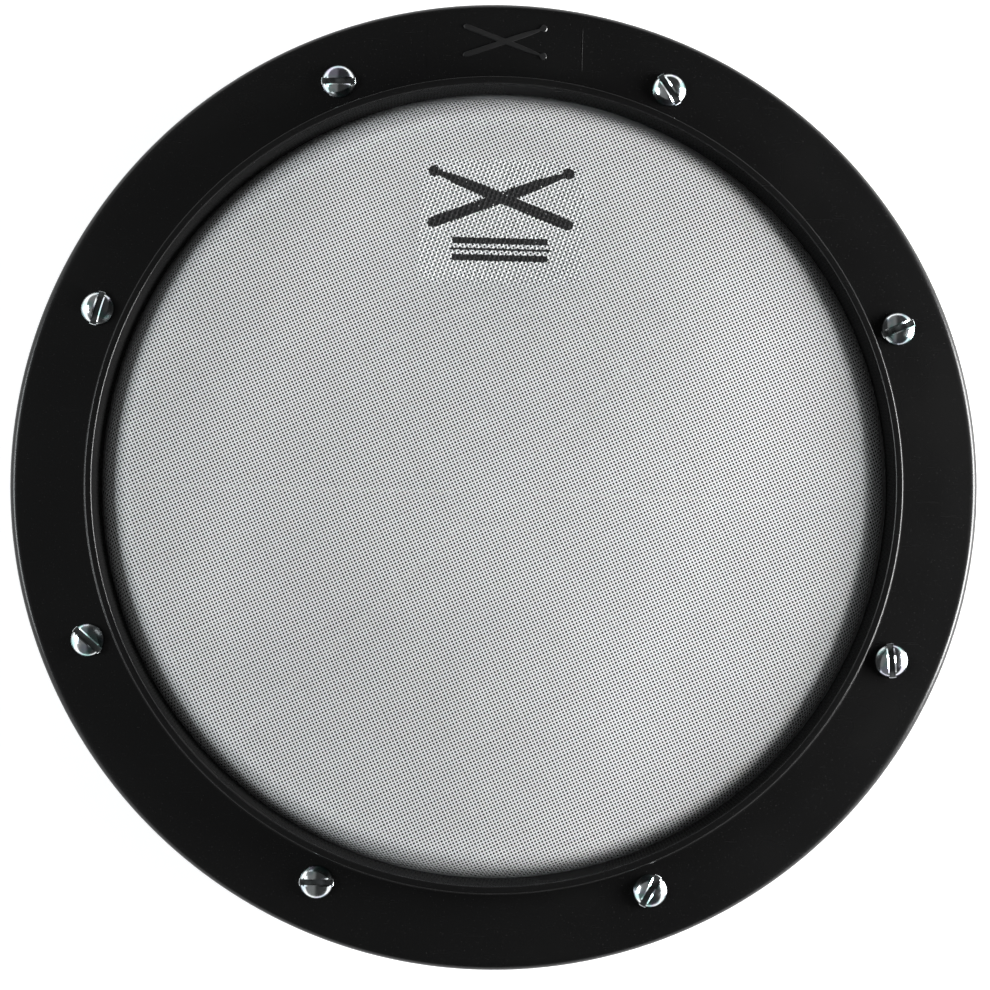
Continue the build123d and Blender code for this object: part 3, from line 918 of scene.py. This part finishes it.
def foot():
    """The rubber ring, with moulded grooves in the face that stands on the table."""
    inner, outer = FOOT_R
    corners = [(inner, FOOT_TOP_Z, 0.0), (inner, 0.0, FOOT_EASE)]
    for middle in GROOVES_R:
        corners += [
            (middle - GROOVE_MOUTH, 0.0, 0.12), (middle - GROOVE_FLOOR, GROOVE_DEPTH, 0.08),
            (middle + GROOVE_FLOOR, GROOVE_DEPTH, 0.08), (middle + GROOVE_MOUTH, 0.0, 0.12),
        ]
    corners += [(outer, 0.0, FOOT_EASE), (outer, FOOT_TOP_Z, 0.0)]
    obj = lathe("rubber_foot", rounded(corners, 2), 360)
    dress(obj, "foot_rubber")
    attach(obj, "base")
    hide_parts("foot_ring")


# ---------------------------------------------------------------- floor, lights and camera, in metres
FLOOR_HALF = 6.0
LIGHT_TARGET = (0, 0, 0.04)
HORIZON_BAND = (0.04, 0.17)
HORIZON_STRENGTH = 1.9
WALL_HEIGHT = 0.55
OVERHEAD_BAND = (-0.24, 0.04)
OVERHEAD_STRENGTH = (0.22, 0.045)
CAMERA_DISTANCE = 1.15
CAMERA_TILT = math.radians(3.0)
CAMERA_ROLL = math.radians(1.48)
CAMERA_AIM = Vector((0.00043, -0.00284, 0.038))
LENS = 158.85


def stage():
    """A plain pale floor, far wider than the picture."""
    corners = [(x * FLOOR_HALF, y * FLOOR_HALF, 0) for x, y in ((-1, -1), (1, -1), (1, 1), (-1, 1))]
    obj = add_mesh("floor", corners, [(0, 1, 2, 3)])
    n = Nodes("floor_paint")
    n.colour(n.mix(n.noise(3.0, 2.0), (0.90, 0.90, 0.90), (0.92, 0.92, 0.92)))
    n.roughness(n.noise(40.0, 2.0), 0.75, 0.85)
    n.set(Specular_IOR_Level=0.2, Emission_Color=(1, 1, 1, 1), Emission_Strength=0.58)
    obj.data.materials.append(n.material)


def soft_box(name, place, size, power, colour=(1.0, 1.0, 1.0)):
    """A rectangular studio light aimed at the pad."""
    light = bpy.data.lights.new(name, "AREA")
    light.shape = "RECTANGLE"
    light.size, light.size_y = size
    light.energy = power
    light.color = colour
    aim = Vector(LIGHT_TARGET) - Vector(place)
    turn = aim.to_track_quat("-Z", "Y").to_matrix().to_4x4()
    add_object(name, light).matrix_world = Matrix.Translation(place) @ turn


def surroundings():
    """A studio bright round the horizon, with tall white walls at its left and right, and dim overhead."""
    world = bpy.data.worlds.new("studio")
    bpy.context.scene.world = world
    t = Tree(world)
    place = t.nodes.new("ShaderNodeSeparateXYZ")
    t.put(place, 0, t.nodes.new("ShaderNodeTexCoord").outputs["Generated"])
    across = place.outputs["X"]
    square = t.math("MULTIPLY", across, across)
    wall = t.math("MULTIPLY", t.math("MULTIPLY", square, square), -WALL_HEIGHT)
    level = t.math("ADD", place.outputs["Z"], wall)
    overhead = t.ramp(across, *OVERHEAD_BAND, *OVERHEAD_STRENGTH)
    back = t.nodes.new("ShaderNodeBackground")
    t.put(back, "Strength", t.ramp(level, *HORIZON_BAND, HORIZON_STRENGTH, overhead, kind="LINEAR"))
    t.put(t.nodes.new("ShaderNodeOutputWorld"), 0, back.outputs[0])
    soft_box("light_left", (-1.35, 0.0, 0.72), (0.8, 0.26), 13.6, (0.94, 0.98, 1.0))
    soft_box("light_right", (0.66, 0.0, 0.175), (0.5, 0.20), 16.0)


def camera():
    """Nearly straight above the pad, leaning a little towards the lower edge of the picture."""
    data = bpy.data.cameras.new("camera")
    data.sensor_width = 36.0
    data.lens = LENS
    data.clip_end = 20.0
    obj = add_object("camera", data)
    back = Vector((0.0, -math.sin(CAMERA_TILT), math.cos(CAMERA_TILT)))
    up = Vector((-math.sin(CAMERA_ROLL), math.cos(CAMERA_ROLL), 0.0))
    right = up.cross(back).normalized()
    up = back.cross(right)
    turn = Matrix((right, up, back)).transposed().to_4x4()
    obj.matrix_world = Matrix.Translation(CAMERA_AIM + back * CAMERA_DISTANCE) @ turn
    bpy.context.scene.camera = obj


camera()
stage()
surroundings()
bpy.context.scene.view_settings.view_transform = "Standard"

woven_head()
counterhoop()
screws()
nuts()
insert()
foot()

CAD_LOOKS = {"base_shell": "abs_base", "flesh_hoop": "hoop_metal", "hoop_resin": "resin"}
for node, slot in CAD_LOOKS.items():
    for material_slot in NODES[node].material_slots:
        material_slot.material = MATERIALS[slot]
